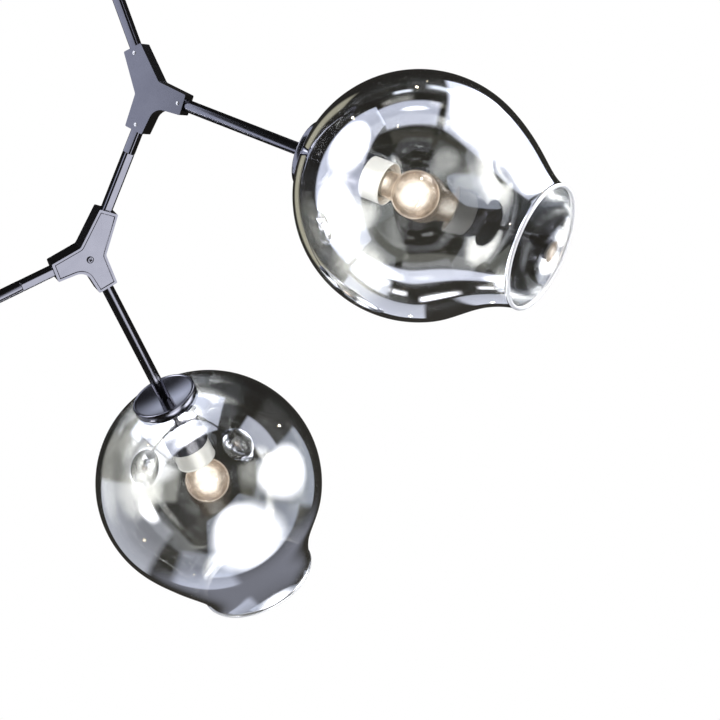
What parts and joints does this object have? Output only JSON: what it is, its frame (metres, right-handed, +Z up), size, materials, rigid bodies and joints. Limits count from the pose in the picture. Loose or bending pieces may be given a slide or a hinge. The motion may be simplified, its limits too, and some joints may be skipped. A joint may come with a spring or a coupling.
{
  "type": "branch chandelier",
  "caption": "Branching ceiling light: a square stem under a round canopy carries flat three-way hubs and round arms that end in open, smoked blown-glass globes, each round a small bulb.",
  "frame": {"origin": "on the ceiling plane, at the stem's axis, midway between the two ceiling screw holes", "axes": "+Z up; the stem hangs along -Z; the broad faces of the upper hub look along -Y and +Y; the pictured front is -Y, slightly from +X"},
  "size_m": [0.8565, 0.6158, 0.8813],
  "materials": {
    "black_metal": "smooth semi-gloss black",
    "bright_steel": "zinc plated, satin",
    "nickel": "bright nickel",
    "brass": "turned",
    "rubber": "matt",
    "white_plastic": "moulded, semi-gloss",
    "lead_insulation": "smooth insulation",
    "holder_silver": "bright satin",
    "holder_ceramic": "unglazed white",
    "smoked_glass": "smoke grey, half-mirrored, polished",
    "bulb_glass": "clear, lit"
  },
  "bodies": {
    "ceiling": {"ceiling_bracket": "bright_steel", "bracket_studs": "bright_steel", "canopy": "black_metal", "canopy_cap_nuts": "black_metal", "canopy_bush": "black_metal", "bush_lock_nut": "bright_steel", "terminal_block": "white_plastic"},
    "stem": {"stem_pivot": "bright_steel", "stem_tube": "black_metal", "stem_wires": "lead_insulation", "hub_1_body": "black_metal", "hub_1_cover": "black_metal", "hub_1_cover_screw": "black_metal", "hub_1_set_screws": "nickel", "mid_arm_upper": "black_metal", "mid_arm_pivot": "bright_steel"},
    "lower_frame": {"mid_arm_wires": "lead_insulation", "mid_arm_lower": "black_metal", "mid_arm_bush": "brass", "hub_2_body": "black_metal", "hub_2_cover": "black_metal", "hub_2_cover_screw": "black_metal", "hub_2_set_screws": "nickel", "left_arm_root": "black_metal"},
    "globe_arm_1": {"arm_1_tube": "black_metal", "arm_1_wires": "lead_insulation", "cup_1": "black_metal", "gasket_1": "rubber", "shade_1": "smoked_glass", "clamp_disc_1": "black_metal", "nipple_1": "bright_steel", "holder_cap_1": "black_metal", "holder_sleeve_1": "holder_silver", "holder_core_1": "holder_ceramic", "bulb_cap_1": "nickel", "bulb_glass_1": "bulb_glass"},
    "globe_arm_2": {"arm_2_tube": "black_metal", "arm_2_wires": "lead_insulation", "cup_2": "black_metal", "gasket_2": "rubber", "shade_2": "smoked_glass", "clamp_disc_2": "black_metal", "nipple_2": "bright_steel", "holder_cap_2": "black_metal", "holder_sleeve_2": "holder_silver", "holder_core_2": "holder_ceramic", "bulb_cap_2": "nickel", "bulb_glass_2": "bulb_glass"},
    "globe_arm_3": {"arm_3_tube": "black_metal", "arm_3_wires": "lead_insulation", "cup_3": "black_metal", "gasket_3": "rubber", "shade_3": "smoked_glass", "clamp_disc_3": "black_metal", "nipple_3": "bright_steel", "holder_cap_3": "black_metal", "holder_sleeve_3": "holder_silver", "holder_core_3": "holder_ceramic", "bulb_cap_3": "nickel", "bulb_glass_3": "bulb_glass"}
  },
  "joints": [
    {"name": "stem_swivel", "type": "hinge", "parent": "ceiling", "child": "stem", "pos_m": [0, 0, -0.03], "axis": [0, 0, 1], "range_deg": [-175, 175]},
    {"name": "mid_arm_swivel", "type": "hinge", "parent": "stem", "child": "lower_frame", "pos_m": [-0.04645, 0, -0.44227], "axis": [-0.7396, 0, -0.673], "range_deg": [-175, 175]},
    {"name": "globe_1_turn", "type": "hinge", "parent": "stem", "child": "globe_arm_1", "pos_m": [0.02922, 0, -0.42658], "axis": [0.7396, 0, -0.673], "range_deg": [-170, 170]},
    {"name": "globe_2_turn", "type": "hinge", "parent": "lower_frame", "child": "globe_arm_2", "pos_m": [-0.13301, 0.02393, -0.54369], "axis": [-0.2123, 0.6059, -0.7667], "range_deg": [-170, 170]},
    {"name": "globe_3_turn", "type": "hinge", "parent": "lower_frame", "child": "globe_arm_3", "pos_m": [-0.1822, -0.04453, -0.52363], "axis": [-0.7833, -0.6059, -0.1392], "range_deg": [-170, 170]}
  ]
}
